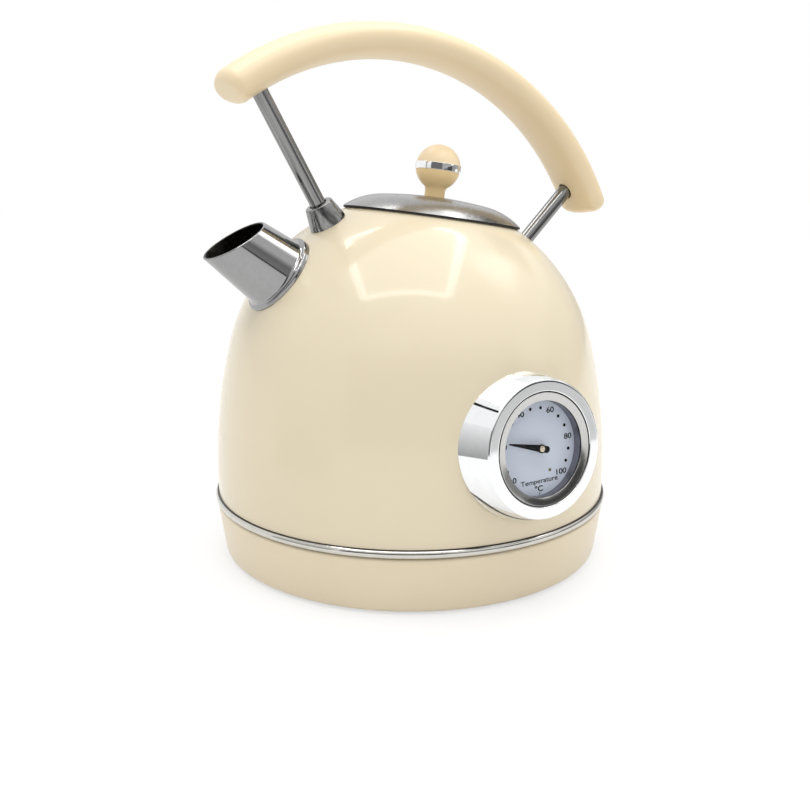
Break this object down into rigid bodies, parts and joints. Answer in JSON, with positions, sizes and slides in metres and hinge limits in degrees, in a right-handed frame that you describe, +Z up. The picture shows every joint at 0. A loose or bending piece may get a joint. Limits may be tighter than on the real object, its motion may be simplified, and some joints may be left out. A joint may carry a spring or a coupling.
{
  "type": "electric kettle",
  "caption": "Dome-shaped cordless electric kettle on a power base, with a slant-cut steel spout, lift-off lid with ball knob, arched handle on steel posts and a dial thermometer",
  "frame": {"origin": "on the table under the middle of the power base", "axes": "+Z up, spout along -X, handle's rear end and cord inlet along +X, dial facing -Y"},
  "size_m": [0.2168, 0.2067, 0.2495],
  "materials": {
    "cream_paint": "gloss enamel",
    "cream_plastic": "satin",
    "polished_steel": "polished",
    "plain_steel": "brushed",
    "aluminium": "satin",
    "brass": "bright",
    "black_plastic": "fine texture",
    "soft_rubber": "matt",
    "clear_glass": "clear",
    "dial_white": "printed, satin",
    "pointer_black": "matt",
    "red_lens": "clear tint"
  },
  "bodies": {
    "power_base": {"base_shell": "cream_plastic", "base_plate": "black_plastic", "base_foot_ring": "soft_rubber", "base_screws": "plain_steel", "base_connector": "black_plastic", "connector_contacts": "brass", "cord_gland": "black_plastic"},
    "kettle": {"body_shell": "cream_paint", "trim_ring": "polished_steel", "heating_plate": "plain_steel", "diffuser_plate": "aluminium", "heating_element": "plain_steel", "element_pins": "plain_steel", "control_unit": "black_plastic", "kettle_socket": "black_plastic", "socket_contacts": "brass", "bottom_cover": "black_plastic", "bottom_screws": "plain_steel", "steam_tube": "black_plastic", "switch_housing": "black_plastic", "switch_pin": "plain_steel", "spout": "polished_steel", "spout_strainer": "plain_steel", "handle_grip": "cream_plastic", "front_post": "polished_steel", "rear_post": "polished_steel", "front_ferrule": "polished_steel", "rear_ferrule": "polished_steel", "post_washers": "plain_steel", "post_nuts": "plain_steel", "gauge_bezel": "polished_steel", "gauge_case": "aluminium", "gauge_gasket": "soft_rubber", "gauge_nut": "plain_steel", "gauge_probe": "plain_steel", "gauge_dial": "dial_white", "gauge_spacer": "aluminium", "gauge_glass": "clear_glass", "gauge_ring": "aluminium", "bimetal_coil": "plain_steel"},
    "lid": {"lid_cap": "polished_steel", "lid_liner": "plain_steel", "lid_seal": "soft_rubber", "knob_base": "cream_plastic", "knob_band": "polished_steel", "knob_cap": "cream_plastic", "knob_screw": "plain_steel"},
    "switch": {"switch_lever": "black_plastic", "lever_lens": "red_lens"},
    "pointer": {"gauge_pointer": "pointer_black", "pointer_shaft": "brass"}
  },
  "joints": [
    {"name": "kettle_lift", "type": "slide", "parent": "power_base", "child": "kettle", "axis": [0, 0, 1], "range_m": [0, 0.04]},
    {"name": "lid_lift", "type": "slide", "parent": "kettle", "child": "lid", "axis": [0.1478, 0, 0.989], "range_m": [0, 0.027]},
    {"name": "switch_press", "type": "hinge", "parent": "kettle", "child": "switch", "pos_m": [0.08842, 0, 0.0391], "axis": [0, 1, 0], "range_deg": [0, 14]},
    {"name": "pointer_turn", "type": "hinge", "parent": "kettle", "child": "pointer", "pos_m": [0.0033, -0.09436, 0.0713], "axis": [-0.0346, 0.9917, -0.1241], "range_deg": [-59.4, 210.6], "stiffness_Nm_per_rad": 0.001}
  ]
}
